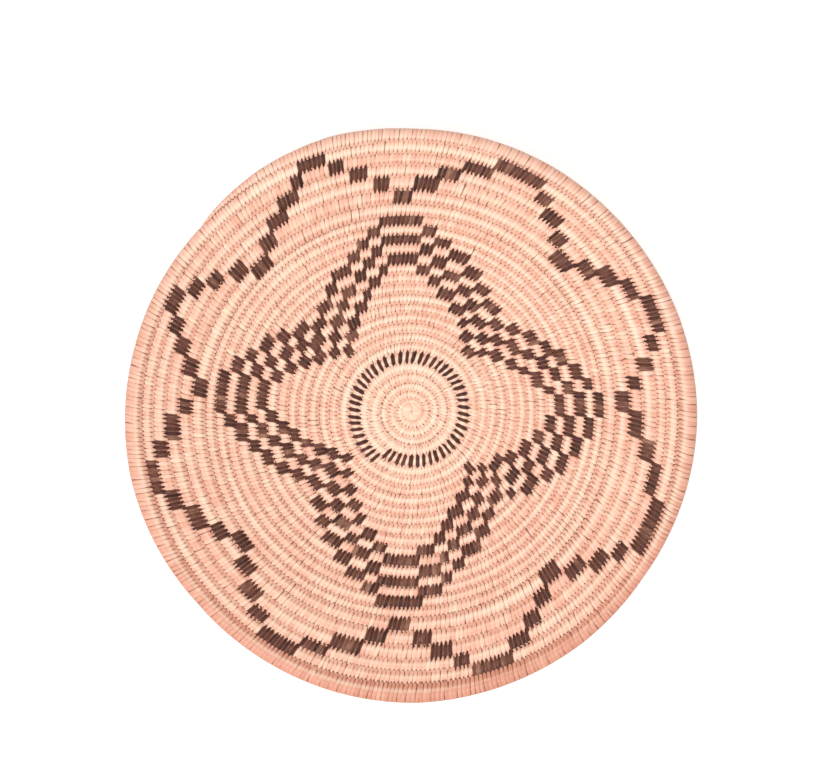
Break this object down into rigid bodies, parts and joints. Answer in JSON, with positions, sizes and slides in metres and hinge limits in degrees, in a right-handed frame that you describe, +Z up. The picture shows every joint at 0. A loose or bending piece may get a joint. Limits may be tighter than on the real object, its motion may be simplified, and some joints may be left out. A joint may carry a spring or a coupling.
{
  "type": "basketry tray",
  "caption": "Shallow round tray of sewn coiled basketry, wound from a start knot to a tapered tail on the rim, with a ring, a stepped star and a zigzag in dark stitches.",
  "frame": {"origin": "on the plane that the tray rests on, under the middle of its bounding box", "axes": "+Z up out of the tray's hollow; +Y towards the edge that is at the top of the picture; +X to the picture's right"},
  "size_m": [0.3632, 0.3666, 0.047],
  "materials": {
    "light_splint": "satin",
    "dark_splint": "satin",
    "rim_splint": "satin"
  },
  "bodies": {
    "root": {"start_knot": "light_splint", "centre_round_01": "light_splint", "centre_round_02": "light_splint", "centre_round_03": "light_splint", "centre_round_04": "light_splint", "centre_round_05": "light_splint", "ring_round_06": "dark_splint", "star_round_07": "light_splint", "star_round_08": "light_splint", "star_round_09": "light_splint", "star_round_10": "light_splint", "star_round_11": "light_splint", "star_round_12": "light_splint", "star_round_13": "light_splint", "star_round_14": "light_splint", "star_round_15": "light_splint", "star_round_16": "light_splint", "star_round_17": "light_splint", "star_round_18": "light_splint", "star_round_19": "light_splint", "star_round_20": "light_splint", "star_round_21": "light_splint", "zigzag_round_22": "light_splint", "zigzag_round_23": "light_splint", "zigzag_round_24": "light_splint", "zigzag_round_25": "light_splint", "zigzag_round_26": "light_splint", "rim_round_27": "rim_splint", "coil_tail": "rim_splint"}
  },
  "joints": []
}
